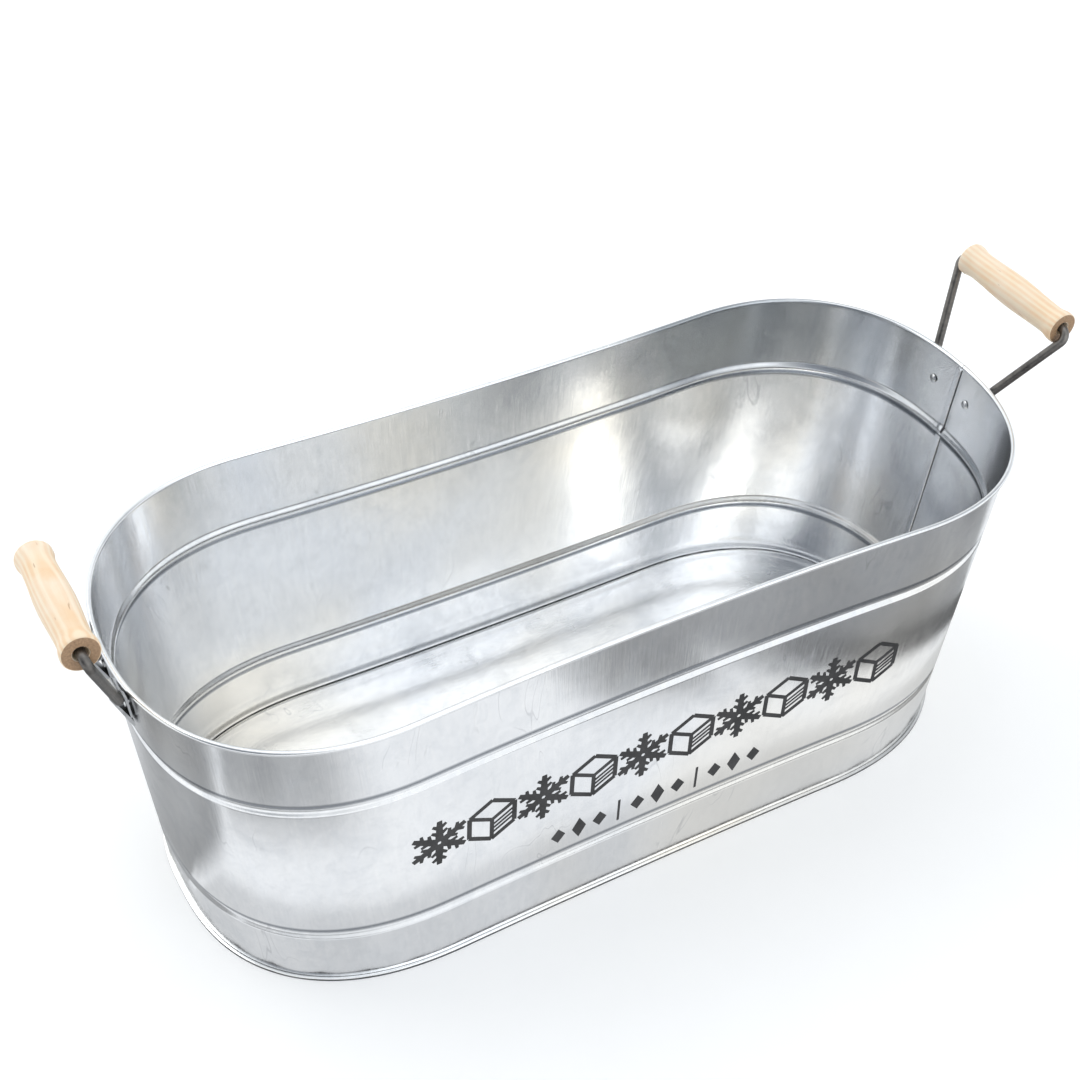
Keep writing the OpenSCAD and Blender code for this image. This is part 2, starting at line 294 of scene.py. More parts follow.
def close_pan(obj):
    """Fills the middle of the pan's two faces with narrowing rings."""
    bm = bmesh.new()
    bm.from_mesh(obj.data)
    bm.verts.ensure_lookup_table()
    rows = len(pan_profile)
    edges = {j: [bm.verts[k * rows + j] for k in range(AROUND)] for j in (0, rows - 1)}
    for j, edge in edges.items():
        ring = edge
        for scale in (0.75, 0.5, 0.25, 0.08):
            new = []
            for v in edge:
                x, y = v.co.x * scale, v.co.y * scale
                z = floor_height(Vector((x, y)) / MM, FLOOR_EDGE, pan_profile[j][1])
                new.append(bm.verts.new((x, y, z * MM)))
            for k in range(AROUND):
                k2 = (k + 1) % AROUND
                bm.faces.new((ring[k], ring[k2], new[k2], new[k]))
            ring = new
        bm.faces.new(ring)
    bmesh.ops.recalc_face_normals(bm, faces=bm.faces)
    for face in bm.faces:
        face.smooth = True
    bm.to_mesh(obj.data)
    bm.free()


close_pan(pan)


# ---------------------------------------------------------------- lock seam

SEAM_NEAR, SEAM_FAR = -4.5, 0.5
STRIP_SINK = 0.15  # how far a strip's root is sunk into the wall


def end_strip(name, section, low, high):
    """A strip up the inside of the right end; its section is (y, thickness) in mm."""
    verts, faces, uvs = [], [], []
    heights = wall_heights(low, high)
    n = len(section)
    for z in heights:
        for y, t in section:
            x = end_x(y, z) - CURL_OUT - bead_in(z) + STRIP_SINK - t
            verts.append(Vector((x, y, z)) * MM)
            uvs.append((y * MM, z * MM))
    for i in range(len(heights) - 1):
        for j in range(n):
            j2 = (j + 1) % n
            faces.append((i * n + j, i * n + j2, (i + 1) * n + j2, (i + 1) * n + j))
    faces.append(tuple(range(n)))
    faces.append(tuple(range((len(heights) - 1) * n, len(heights) * n))[::-1])
    obj = new_object(name, verts, faces, uvs, sharp=30)
    outward(obj)
    return obj


def seam_section():
    """The lock seam: a steep near edge, sloping down to the far one."""
    near_edge = [(SEAM_NEAR, 0.0), (SEAM_NEAR, 0.75), (SEAM_NEAR + 0.35, 0.95)]
    return near_edge + [(SEAM_FAR - 1.2, 0.8), (SEAM_FAR - 0.4, 0.55), (SEAM_FAR, 0.0)]


def seam_shadow_section():
    """Painted shadow: a dark strip along the seam's near edge, where the undercut is in shade."""
    start, end = SEAM_NEAR - 0.75, SEAM_NEAR - 0.05
    return [(start, 0.0), (start, 0.2), (end, 0.22), (end, 0.0)]


seam = end_strip("lock_seam", seam_section(), 5.0, RIM_Z - 4.0)
# dark strip that stands for the shadow under the seam's near edge
seam_painted_shadow = end_strip("seam_painted_shadow", seam_shadow_section(), 6.0, RIM_Z - 5.0)


# ---------------------------------------------------------------- wire and grips


def tube(name, path, radius, sides=28):
    """A closed round bar along a path of points in metres, with one frame carried along it."""
    verts, faces, uvs = [], [], []
    tangents = []
    for i, p in enumerate(path):
        a, b = path[max(0, i - 1)], path[min(len(path) - 1, i + 1)]
        tangents.append((b - a).normalized())
    side = tangents[0].orthogonal().normalized()
    run = 0.0
    for i, p in enumerate(path):
        if i:
            run += (p - path[i - 1]).length
        side = (side - tangents[i] * side.dot(tangents[i])).normalized()
        other = tangents[i].cross(side)
        r = radius[i] if isinstance(radius, (list, tuple)) else radius
        for k in range(sides):
            a = 2 * math.pi * k / sides
            verts.append(p + (side * math.cos(a) + other * math.sin(a)) * r)
            uvs.append((r * a, run))
    for i in range(len(path) - 1):
        for k in range(sides):
            k2 = (k + 1) % sides
            low, high = i * sides, (i + 1) * sides
            faces.append((low + k, low + k2, high + k2, high + k))
    faces.append(tuple(range(sides))[::-1])
    faces.append(tuple(range((len(path) - 1) * sides, len(path) * sides)))
    return new_object(name, verts, faces, uvs, sharp=50)


# The two handles, right (1) and left (-1). The left one is bent out of true.
PIVOT = Vector((285.5, 0.0, 200.5))
REACH = 62.5  # from the pivot up to the wire through the grip
LEAN = {1: 29.5, -1: 17.0}  # degrees that the bail leans outward at rest
SKEW = {1: 0.0, -1: 11.0}  # how much shorter the back leg is
SLIDE = {1: 0.0, -1: 1.2}  # how far the grip has slid along the wire
WIRE_R = 2.75
WIRE_CHAMFER = 0.35
PEG_END = 10.0
FOOT_Y = 25.3
TOP_Y = 51.6
BEND_R = 5.5  # bending radius of the wire's middle line
STRAIGHT_STEP = 6  # largest gap between points of a straight stretch
END_PIECES = 4
GRIP_HALF = 44.0
GRIP_BELLY = 10.3  # radii at the grip's middle and at its two waists
GRIP_WAIST = 9.2
WAIST_Y = 33.0
FLARE_RUN = 7  # from a waist out to the full end
GRIP_BORE = 4.3
GRIP_EDGE = 1.1


def bail_frame(side):
    """Directions of a bail's own plane: off the plane, across, and up from its pivot."""
    lean = math.radians(LEAN[side])
    off = Vector((side * math.cos(lean), 0, -math.sin(lean)))
    up = Vector((side * math.sin(lean), 0, math.cos(lean)))
    return off, Vector((0, 1, 0)), up


def handle_point(side, y, h):
    """Point of a bail's own plane, y across and h up from its pivot, in metres."""
    _, across, up = bail_frame(side)
    pivot = Vector((side * PIVOT.x, 0, PIVOT.z))
    return (pivot + across * y + up * h) * MM


def rounded(chain, steps=16):
    """A chain of (y, h) corners with each inner corner bent to the wire's radius."""
    corners = [Vector(p) for p in chain]
    path = [corners[0]]
    for before, corner, after in zip(corners, corners[1:], corners[2:]):
        a, b = (corner - before).normalized(), (after - corner).normalized()
        turn = a.angle(b)
        start = corner - a * BEND_R * math.tan(turn / 2)
        inward = (b - a * a.dot(b)).normalized()
        origin = path[-1]
        pieces = max(1, round((start - origin).length / STRAIGHT_STEP))
        path += [origin.lerp(start, i / pieces) for i in range(1, pieces + 1)]
        for i in range(1, steps + 1):
            t = turn * i / steps
            path.append(start + a * BEND_R * math.sin(t) + inward * BEND_R * (1 - math.cos(t)))
    origin = path[-1]
    return path + [origin.lerp(corners[-1], i / END_PIECES) for i in range(1, END_PIECES + 1)]


def make_bail(side, name):
    """A wire bail, with chamfered ends on its two turned-in pegs."""
    back_leg = [(PEG_END, 0), (FOOT_Y, 0), (TOP_Y, REACH - SKEW[side])]
    front_leg = [(-TOP_Y, REACH), (-FOOT_Y, 0), (-PEG_END, 0)]
    path = rounded(back_leg + front_leg)
    path.insert(1, path[0].lerp(path[1], 0.1))
    path.insert(-1, path[-1].lerp(path[-2], 0.1))
    radius = [WIRE_R * MM] * len(path)
    radius[0] = radius[-1] = (WIRE_R - WIRE_CHAMFER) * MM
    return tube(name, [handle_point(side, p.x, p.y) for p in path], radius)


def grip_radius(y):
    """Radius of a grip at y from its middle: full, waisted, then flared to its end."""
    swell = GRIP_BELLY - GRIP_WAIST
    t = abs(y) / WAIST_Y
    if t <= 1:
        return GRIP_WAIST + swell * (0.5 + 0.5 * math.cos(math.pi * t))
    t = min(1.0, (abs(y) - WAIST_Y) / FLARE_RUN)
    return GRIP_WAIST + swell * (1 - math.cos(math.pi / 2 * t))


def grip_frame(side):
    """Matrix from a grip's own axes, Y along it, to the tub's."""
    off, across, up = bail_frame(side)
    tilt = math.atan(SKEW[side] / 2 / TOP_Y)
    along = across * math.cos(tilt) - up * math.sin(tilt)
    over = off.cross(along)
    centre = handle_point(side, 0.0, REACH - SKEW[side] / 2) + along * SLIDE[side] * MM
    turn = Matrix((off, along, over)).transposed()
    return Matrix.Translation(centre) @ turn.to_4x4()


def grip_profile():
    """Section of a grip as (radius, y): in at one end's bore, along the outside, and back in."""
    half, bore, edge = GRIP_HALF, GRIP_BORE, GRIP_EDGE
    end_r = grip_radius(half)
    lip = [(bore, -half + 6), (bore, -half + 0.4), (bore + 0.4, -half), (end_r - edge, -half)]
    for i in range(1, 6):
        angle = math.radians(90 * i / 6)
        lip.append((end_r - edge + edge * math.sin(angle), -half + edge - edge * math.cos(angle)))
    profile = list(lip)
    steps = 60
    for i in range(steps + 1):
        y = -half + edge + (2 * half - 2 * edge) * i / steps
        profile.append((grip_radius(y), y))
    return profile + [(r, -y) for r, y in lip][::-1]


def make_grip(side, name):
    """A turned grip round its bail's wire."""
    profile, sides = grip_profile(), 72
    frame_of_grip = grip_frame(side)
    verts, faces, uvs = [], [], []
    run = 0.0
    for j, (r, y) in enumerate(profile):
        if j:
            run += math.hypot(r - profile[j - 1][0], y - profile[j - 1][1])
        for k in range(sides):
            a = 2 * math.pi * k / sides
            local = Vector((math.cos(a) * r, y, math.sin(a) * r)) * MM
            verts.append(frame_of_grip @ local)
            uvs.append((a, run * MM))
    rows = len(profile)
    for j in range(rows):
        j2 = (j + 1) % rows
        for k in range(sides):
            k2 = (k + 1) % sides
            low, high = j * sides, j2 * sides
            faces.append((low + k, low + k2, high + k2, high + k))
    obj = new_object(name, verts, faces, uvs, sharp=40)
    outward(obj)
    return obj


bails = {1: make_bail(1, "bail_wire_right"), -1: make_bail(-1, "bail_wire_left")}
grips = {1: make_grip(1, "grip_wood_right"), -1: make_grip(-1, "grip_wood_left")}


# ---------------------------------------------------------------- join of the rolled edge

LAP = 12.0
LAP_RISE = 0.30  # how far the lap's end stands out from the rim
EDGE_RISE = 0.12  # how far the dark ring of painted shade at its end does


def rim_join():
    """The end of the rolled edge laps over its start, beside the seam, with a dark ring of painted
    shade at its end.
    """
    path, radius = [], []
    steps = 12
    h = RIM_Z - drop(RIM_HALF_L, RIM_Z)
    for i in range(steps + 1):
        y = SEAM_NEAR - LAP * i / steps
        path.append(Vector((end_x(y, h), y, h)) * MM)
        radius.append((CURL_OUT + LAP_RISE * (1 - i / steps)) * MM)
    # a thin dark ring that stands for the shade at the lap's step
    edge = [path[0] + Vector((0, gap, 0)) for gap in (0.0006, 0.00005)]
    return (
        tube("rim_join", path, radius, sides=32),
        tube("rim_join_painted_shade", edge, (CURL_OUT + EDGE_RISE) * MM, sides=32),
    )


join, join_painted_shade = rim_join()


# ---------------------------------------------------------------- printed ornament


def front_point(x, z, lift):
    """Point on the outside of the long front wall, lifted off it, in metres."""

    def plan_y(u, h):
        half_l, half_w, straight, power, bow = plan_sizes(h)
        over = max(0.0, (abs(u) - straight) / (half_l - straight))
        return half_w * (1 - over ** power) ** (1 / power) + bow * (1 - (u / half_l) ** 2)

    slope = plan_y(x + 0.5, z) - plan_y(x - 0.5, z)
    normal = Vector((-slope, 1.0)).normalized()
    out = lift - CURL_IN
    return Vector((x + normal.x * out, -(plan_y(x, z) + normal.y * out), z)) * MM


INK_TOP = 0.10  # how far the ink stands off the wall and reaches into it
INK_SINK = 0.05
INK_STEP = 0.003  # shapes made one after another differ in height, so none share a face
INK_LEVELS = 9
STROKE_STEP = 9  # longest piece of a bar


class Ink:
    """Gathers flat closed shapes that lie on the front wall."""

    def __init__(self):
        self.verts, self.faces, self.count = [], [], 0

    def polygon(self, points):
        """A thin closed slab with this outline of (x, z) in mm."""
        top = INK_TOP + INK_STEP * (self.count % INK_LEVELS)
        self.count += 1
        n = len(points)
        base = len(self.verts)
        for lift in (-INK_SINK, top):
            self.verts += [front_point(x, z, lift) for x, z in points]
        low = list(range(base, base + n))
        high = list(range(base + n, base + 2 * n))
        self.faces.append(tuple(low[::-1]))
        self.faces.append(tuple(high))
        for i in range(n):
            j = (i + 1) % n
            self.faces.append((low[i], low[j], high[j], high[i]))

    def stroke(self, a, b, wide, narrow=None):
        """A bar from a to b, cut in lengths so that it follows the wall."""
        a, b = Vector(a), Vector(b)
        narrow = wide if narrow is None else narrow
        across = (b - a).orthogonal().normalized()
        pieces = max(1, round((b - a).length / STROKE_STEP))
        for i in range(pieces):
            t0, t1 = i / pieces, (i + 1) / pieces
            p, q = a.lerp(b, t0), a.lerp(b, t1)
            w0, w1 = wide + (narrow - wide) * t0, wide + (narrow - wide) * t1
            off0, off1 = across * w0 / 2, across * w1 / 2
            self.polygon([tuple(c) for c in (p - off0, q - off1, q + off1, p + off0)])

    def lozenge(self, x, z, w, h):
        """An upright lozenge round (x, z)."""
        self.polygon([(x - w / 2, z), (x, z - h / 2), (x + w / 2, z), (x, z + h / 2)])

    def flake(self, x, z, r):
        """A snowflake: six arms, each with two pairs of twigs."""
        centre = Vector((x, z))
        for k in range(6):
            a = math.radians(90 + 60 * k)
            d = Vector((math.cos(a), math.sin(a)))
            self.stroke(centre + d * 0.06 * r, centre + d * r, 0.30 * r, 0.17 * r)
            for turn in (-54, 54):
                b = a + math.radians(turn)
                e = Vector((math.cos(b), math.sin(b)))
                for at, reach in ((0.36, 0.32), (0.66, 0.28)):
                    start = centre + d * at * r
                    self.stroke(start, start + e * reach * r, 0.17 * r, 0.10 * r)

    def cube(self, x, z, r):
        """An ice cube seen from a corner, with three lines of shading on one face."""
        centre = Vector((x, z))
        corners = []
        for k in range(6):
            a = math.radians(90 + 60 * k)
            corners.append(centre + Vector((math.cos(a), math.sin(a))) * r)
        for k in range(6):
            self.stroke(corners[k], corners[(k + 1) % 6], 0.18 * r)
        for k in (1, 3, 5):
            self.stroke(centre, corners[k], 0.16 * r)
        for t in (0.3, 0.5, 0.7):
            self.stroke(centre.lerp(corners[3], t), corners[5].lerp(corners[4], t), 0.09 * r)


ROW_Z, ROW_STEP, ROW_COUNT = 106.5, 33.0, 10  # row of snowflakes and ice cubes
FLAKE_R, CUBE_R = 18.5, 16.5
SMALL_Z, GROUP_STEP, SMALL_STEP = 65.0, 54, 14  # row of lozenges in three groups
SMALL_SHIFT = -3
LOZENGE_W, LOZENGE_H, MIDDLE_H = 9.5, 12.0, 17.0
BAR_HALF, BAR_W = 9, 1.6


def print_ornament():
    """Two rows of generic motifs on the long front wall."""
    ink = Ink()
    for i in range(ROW_COUNT):
        x = (i - (ROW_COUNT - 1) / 2) * ROW_STEP
        if i % 2 == 0:
            ink.flake(x, ROW_Z, FLAKE_R)
        else:
            ink.cube(x, ROW_Z, CUBE_R)
    for group in (-1, 0, 1):
        for i in (-1, 0, 1):
            x = group * GROUP_STEP + i * SMALL_STEP + SMALL_SHIFT
            ink.lozenge(x, SMALL_Z, LOZENGE_W, LOZENGE_H if i else MIDDLE_H)
    for side in (-1, 1):
        x = side * GROUP_STEP / 2 + SMALL_SHIFT
        ink.stroke((x, SMALL_Z - BAR_HALF), (x, SMALL_Z + BAR_HALF), BAR_W)
    obj = new_object("printed_ornament", ink.verts, ink.faces)
    outward(obj)
    return obj


ornament = print_ornament()


# ---------------------------------------------------------------- materials


class Nodes:
    """Short way to make a node material; a value may be a number, a colour or a socket."""

    def __init__(self, name):
        self.mat = bpy.data.materials.new(name)
        self.mat.use_nodes = True
        self.tree = self.mat.node_tree
        self.bsdf = self.tree.nodes["Principled BSDF"]

    def add(self, kind, **values):
        """A new node with its settings: small letters for properties, capitals for sockets."""
        node = self.tree.nodes.new(kind)
        for key, value in values.items():
            if key[0].isupper():
                node.inputs[key.replace("_", " ")].default_value = value
            else:
                setattr(node, key, value)
        return node

    def link(self, a, b):
        self.tree.links.new(a, b)

    def coords(self, which):
        return self.add("ShaderNodeTexCoord").outputs[which]

    def attribute(self, name):
        return self.add("ShaderNodeAttribute", attribute_name=name).outputs["Fac"]

    def mapping(self, source, scale, location=(0, 0, 0), rotation=(0, 0, 0)):
        node = self.add("ShaderNodeMapping", Scale=scale, Location=location, Rotation=rotation)
        self.link(source, node.inputs["Vector"])
        return node.outputs["Vector"]

    def noise(self, source, scale, detail=3.0, rough=0.5, distortion=0.0):
        node = self.add("ShaderNodeTexNoise", Scale=scale, Detail=detail)
        node.inputs["Roughness"].default_value = rough
        node.inputs["Distortion"].default_value = distortion
        self.link(source, node.inputs["Vector"])
        return node.outputs["Fac"]

    def span(self, source, low, high, a=0.0, b=1.0):
        """Maps low..high to a..b, clamped."""
        node = self.add("ShaderNodeMapRange", From_Min=low, From_Max=high, To_Min=a, To_Max=b)
        self.link(source, node.inputs["Value"])
        return node.outputs["Result"]

    def math(self, op, a, b):
        node = self.add("ShaderNodeMath", operation=op)
        for i, v in enumerate((a, b)):
            if isinstance(v, (int, float)):
                node.inputs[i].default_value = v
            else:
                self.link(v, node.inputs[i])
        return node.outputs[0]

    def mix(self, fac, a, b):
        node = self.add("ShaderNodeMix", data_type="RGBA")
        for i, v in ((0, fac), (6, a), (7, b)):
            if isinstance(v, (int, float)):
                node.inputs[i].default_value = v
            elif isinstance(v, tuple):
                node.inputs[i].default_value = (*v, 1.0)
            else:
                self.link(v, node.inputs[i])
        return node.outputs[2]

    def bump(self, height, distance, strength, normal=None):
        node = self.add("ShaderNodeBump", Strength=strength, Distance=distance)
        self.link(height, node.inputs["Height"])
        if normal is not None:
            self.link(normal, node.inputs["Normal"])
        return node.outputs["Normal"]

    def set(self, **values):
        """Sets or links the shader's sockets, and gives the material."""
        for key, value in values.items():
            socket = self.bsdf.inputs[key.replace("_", " ")]
            if hasattr(value, "is_output"):
                self.link(value, socket)
            elif isinstance(value, tuple) and len(value) == 3:
                socket.default_value = (*value, 1.0)
            else:
                socket.default_value = value
        return self.mat


WARM_ZINC = (0.97, 0.93, 0.85)
SPECK_GREY = (0.72, 0.74, 0.77)
SMUDGE_GREY = (0.70, 0.73, 0.77)
# grey of the painted shade beside the beads, at the foot and under the rim
PAINTED_SHADE_GREY = (0.20, 0.22, 0.25)
# grey of the painted dark reflection at the far right corner
PAINTED_REFLECTION_GREY = (0.36, 0.39, 0.42)
SCRATCH_GREY = (0.42, 0.43, 0.45)


def sheet_metal(name, grain_scale, dark, light, rough, wave_mm, painted_reflection=False):
    """Galvanised sheet: drawn grain, cloudy zinc, smudges, faint scratches and waves."""
    n = Nodes(name)
    obj, uv = n.coords("Object"), n.coords("UV")
    grain = n.noise(n.mapping(uv, grain_scale), 1.0, 3.0, 0.6)
    cloud = n.noise(obj, 9.0, 3.0, 0.55, 0.4)
    smudge = n.noise(obj, 34.0, 4.0, 0.6, 0.8)
    tint = n.noise(obj, 5.0, 2.0, 0.5)
    streak = n.noise(n.mapping(uv, tuple(v / 4 for v in grain_scale)), 1.0, 4.0, 0.65, 0.3)
    spangle = n.noise(n.mapping(obj, (1.0, 1.0, 0.6)), 150.0, 4.0, 0.65, 0.5)
    shade = n.math("MULTIPLY", n.span(cloud, 0.3, 0.7), 0.55)
    shade = n.math("ADD", shade, n.math("MULTIPLY", n.span(grain, 0.35, 0.65), 0.25))
    shade = n.math("ADD", shade, n.math("MULTIPLY", n.span(streak, 0.35, 0.65), 0.20))
    colour = n.mix(shade, dark, light)
    colour = n.mix(n.span(spangle, 0.42, 0.70, 0.0, 0.28), colour, SPECK_GREY)
    colour = n.mix(n.span(smudge, 0.52, 0.74, 0.0, 0.30), colour, SMUDGE_GREY)
    colour = n.mix(n.span(tint, 0.50, 0.66, 0.0, 0.6), colour, WARM_ZINC)
    # painted shade: darker where the wall's attribute says, beside the beads, at the foot and under
    # the rim
    colour = n.mix(n.attribute("painted_shade"), colour, PAINTED_SHADE_GREY)
    if painted_reflection:
        # painted dark reflection inside the upper band at the far right corner
        colour = n.mix(painted_reflection_patch(n, obj), colour, PAINTED_REFLECTION_GREY)
    colour = n.mix(n.math("MULTIPLY", scratches(n, obj), 0.35), colour, SCRATCH_GREY)
    wave = n.noise(obj, 6.0, 1.5, 0.4)
    dent = n.noise(obj, 24.0, 2.0, 0.5)
    normal = n.bump(wave, wave_mm * MM * 8, 0.5)
    normal = n.bump(dent, wave_mm * MM * 1.2, 0.5, normal)
    normal = n.bump(streak, 0.00006, 0.5, normal)
    normal = n.bump(grain, 0.00006, 0.5, normal)
    roughness = n.span(grain, 0.3, 0.7, rough - 0.03, rough + 0.05)
    roughness = n.math("ADD", roughness, n.span(smudge, 0.5, 0.75, 0.0, 0.08))
    return n.set(Base_Color=colour, Metallic=1.0, Roughness=roughness, Normal=normal)


def painted_reflection_patch(n, obj):
    """Painted dark reflection inside the upper band at the far right corner, with a cloudy edge."""
    sep = n.add("ShaderNodeSeparateXYZ")
    n.link(obj, sep.inputs[0])
    x, y, z = sep.outputs
    cloud = n.span(n.noise(obj, 14.0, 2.0, 0.5), 0.3, 0.7, -0.03, 0.03)
    along = n.math("ADD", x, cloud)
    patch = n.math("MULTIPLY", n.span(along, 0.07, 0.13), n.span(along, 0.20, 0.26, 1.0, 0.55))
    patch = n.math("MULTIPLY", patch, n.span(z, 0.160, 0.166))
    return n.math("MULTIPLY", n.math("MULTIPLY", patch, n.span(y, 0.0, 0.04)), 0.85)


def scratches(n, obj):
    """Sparse hairlines: thin lines of a warped noise, kept only where a second noise is high."""
    stretched = n.mapping(obj, (1.0, 1.0, 0.35), rotation=(0.3, 0.2, 0.5))
    warped = n.noise(stretched, 26.0, 2.0, 0.5, 1.2)
    off = n.math("ABSOLUTE", n.math("SUBTRACT", warped, 0.5), 0.0)
    where = n.span(n.noise(obj, 17.0, 2.0, 0.5), 0.56, 0.64)
    return n.math("MULTIPLY", n.span(off, 0.0, 0.006, 1.0, 0.0), where)


wall_metal = sheet_metal(
    "galvanised_wall",
    grain_scale=(1100.0, 38.0, 1.0),
    dark=(0.885, 0.90, 0.925),
    light=(0.985, 0.985, 0.985),
    rough=0.17,
    wave_mm=0.45,
    painted_reflection=True,
)
floor_metal = sheet_metal(
    "galvanised_floor",
    grain_scale=(60.0, 900.0, 1.0),
    dark=(0.895, 0.91, 0.93),
    light=(0.985, 0.985, 0.98),
    rough=0.20,
    wave_mm=0.5,
)


def dull_steel(name, dark, light, rough):
    """Plain steel with fine and broad mottling."""
    n = Nodes(name)
    obj = n.coords("Object")
    fine = n.noise(obj, 220.0, 4.0, 0.6)
    broad = n.noise(obj, 220.0 / 9, 3.0, 0.5)
    shade = n.math("ADD", n.math("MULTIPLY", fine, 0.6), n.math("MULTIPLY", broad, 0.4))
    colour = n.mix(n.span(shade, 0.35, 0.65), dark, light)
    roughness = n.span(fine, 0.3, 0.7, rough - 0.06, rough + 0.10)
    normal = n.bump(fine, 0.00008, 0.6)
    return n.set(Base_Color=colour, Metallic=1.0, Roughness=roughness, Normal=normal)


ear_metal = dull_steel("ear_steel", (0.42, 0.43, 0.44), (0.66, 0.67, 0.68), 0.32)
rivet_metal = dull_steel("rivet_steel", (0.55, 0.56, 0.57), (0.80, 0.81, 0.82), 0.26)
wire_metal = dull_steel("bail_wire", (0.11, 0.105, 0.10), (0.25, 0.235, 0.22), 0.36)
# dark steel for the hidden rim wire, also used as painted shade on the seam's shadow strip and the
# lap's dark ring
hidden_metal_and_painted_shade = dull_steel("rim_steel", (0.10, 0.10, 0.11), (0.20, 0.20, 0.21), 0.45)


def printing_ink():
    """Matt black ink, slightly worn."""
    n = Nodes("printing_ink")
    obj = n.coords("Object")
    speck = n.noise(obj, 900.0, 3.0, 0.6)
    cloud = n.noise(obj, 60.0, 2.0, 0.5)
    colour = n.mix(n.span(cloud, 0.35, 0.7), (0.012, 0.012, 0.013), (0.035, 0.034, 0.036))
    colour = n.mix(n.span(speck, 0.70, 0.76, 0.0, 0.5), colour, (0.30, 0.30, 0.31))
    roughness = n.span(speck, 0.3, 0.7, 0.42, 0.56)
    return n.set(Base_Color=colour, Roughness=roughness, Normal=n.bump(speck, 0.00003, 0.4))


ink_black = printing_ink()


def wood(name, side):
    """Pale turned wood: faint rings along the grip, fine fibres, few pores, darker end grain."""
    n = Nodes(name)
    to_grip = grip_frame(side).inverted()
    local = n.mapping(n.coords("Object"), (1, 1, 1), to_grip.to_translation(), to_grip.to_euler())
    heart = (0.011 + 0.004 * side, 0.0, 0.016)
    rings_at = n.mapping(local, (1.0, 0.10, 1.0), heart, (0.25, 0.0, 0.12))
    rings = n.add("ShaderNodeTexWave", wave_type="RINGS", rings_direction="Y", Scale=95.0)
    rings.inputs["Distortion"].default_value = 2.6
    rings.inputs["Detail"].default_value = 2.0
    rings.inputs["Detail Scale"].default_value = 1.2
    n.link(rings_at, rings.inputs["Vector"])
    fibre = n.noise(n.mapping(local, (1.0, 0.05, 1.0)), 900.0, 3.0, 0.6)
    pore = n.noise(n.mapping(local, (1.0, 0.16, 1.0)), 620.0, 1.0, 0.5)
    blotch = n.noise(local, 45.0, 3.0, 0.55, 0.3)
    base = n.mix(n.span(rings.outputs["Fac"], 0.1, 0.9), (0.97, 0.80, 0.59), (0.92, 0.66, 0.42))
    base = n.mix(n.span(blotch, 0.35, 0.7, 0.0, 0.6), base, (0.99, 0.89, 0.76))
    base = n.mix(n.span(fibre, 0.40, 0.75, 0.0, 0.22), base, (0.86, 0.60, 0.36))
    base = n.mix(n.span(pore, 0.74, 0.80, 0.0, 0.6), base, (0.50, 0.26, 0.12))
    sep = n.add("ShaderNodeSeparateXYZ")
    n.link(local, sep.inputs[0])
    length = n.math("ABSOLUTE", sep.outputs["Y"], 0.0)
    end = n.span(length, GRIP_HALF * MM - 0.00015, GRIP_HALF * MM - 0.00005)
    end_colour = n.mix(n.span(fibre, 0.3, 0.7), (0.27, 0.16, 0.085), (0.46, 0.29, 0.165))
    base = n.mix(end, base, end_colour)
    roughness = n.span(fibre, 0.3, 0.7, 0.42, 0.60)
    normal = n.bump(fibre, 0.00010, 0.6)
    return n.set(Base_Color=base, Roughness=roughness, Normal=normal, Specular_IOR_Level=0.45)


grip_wood = {1: wood("grip_wood_right", 1), -1: wood("grip_wood_left", -1)}


def paint(obj, mat):
    obj.data.materials.clear()
    obj.data.materials.append(mat)


PIECES = (
    (wall, wall_metal, "galvanised_wall"),
    (seam, wall_metal, "galvanised_wall"),
    (seam_painted_shadow, hidden_metal_and_painted_shade, "rim_steel"),
    (join, wall_metal, "galvanised_wall"),
    (join_painted_shade, hidden_metal_and_painted_shade, "rim_steel"),
    (ornament, ink_black, "print_ink"),
    (pan, floor_metal, "galvanised_floor"),
)
for piece, material, slot in PIECES:
    paint(piece, material)
    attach(piece, "tub")
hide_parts("tub_wall")
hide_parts("bottom_pan")
for side, word in ((1, "right"), (-1, "left")):
    paint(bails[side], wire_metal)
    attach(bails[side], word + "_bail")
    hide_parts("bail_" + word)
    paint(grips[side], grip_wood[side])
    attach(grips[side], word + "_grip")
    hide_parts("grip_" + word)

for name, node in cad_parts.items():
    if name == "rim_wire":
        paint(node, hidden_metal_and_painted_shade)
    elif name.startswith("ear"):
        paint(node, ear_metal)
        soft = node.modifiers.new("edges", "BEVEL")
        soft.width = 0.0003
        soft.segments = 2
        soft.limit_method = "ANGLE"
    elif name.startswith("rivet"):
        paint(node, rivet_metal)


# ---------------------------------------------------------------- floor, light and camera

FLOOR_HALF = 4  # metres


def plain_floor():
    """A pale square floor that glows faintly, so that its shadows stay soft."""
    corners = [(x * FLOOR_HALF, y * FLOOR_HALF, 0) for x, y in ((-1, -1), (1, -1), (1, 1), (-1, 1))]
    floor = new_object("floor", corners, [(0, 1, 2, 3)])
    n = Nodes("floor")
    fleck = n.noise(n.coords("Object"), 30.0, 3.0, 0.5)
    n.set(
        Base_Color=n.mix(fleck, (0.95, 0.95, 0.95), (0.97, 0.97, 0.97)),
        Emission_Color=(1.0, 1.0, 1.0),
        Emission_Strength=0.15,
        Roughness=0.7,
        Specular_IOR_Level=0.2,
    )
    paint(floor, n.mat)


plain_floor()

PALE_ROOM = (0.95, 0.98, 1.0, 1.0)
# Darker parts of the room: direction, cosines where each begins and is full, and colour.
DARK_SIDES = (
    ((-0.80, -0.48, 0.42), 0.70, 0.97, (0.20, 0.22, 0.25)),
    ((0.74, 0.00, 0.67), 0.86, 0.99, (0.50, 0.53, 0.57)),
)


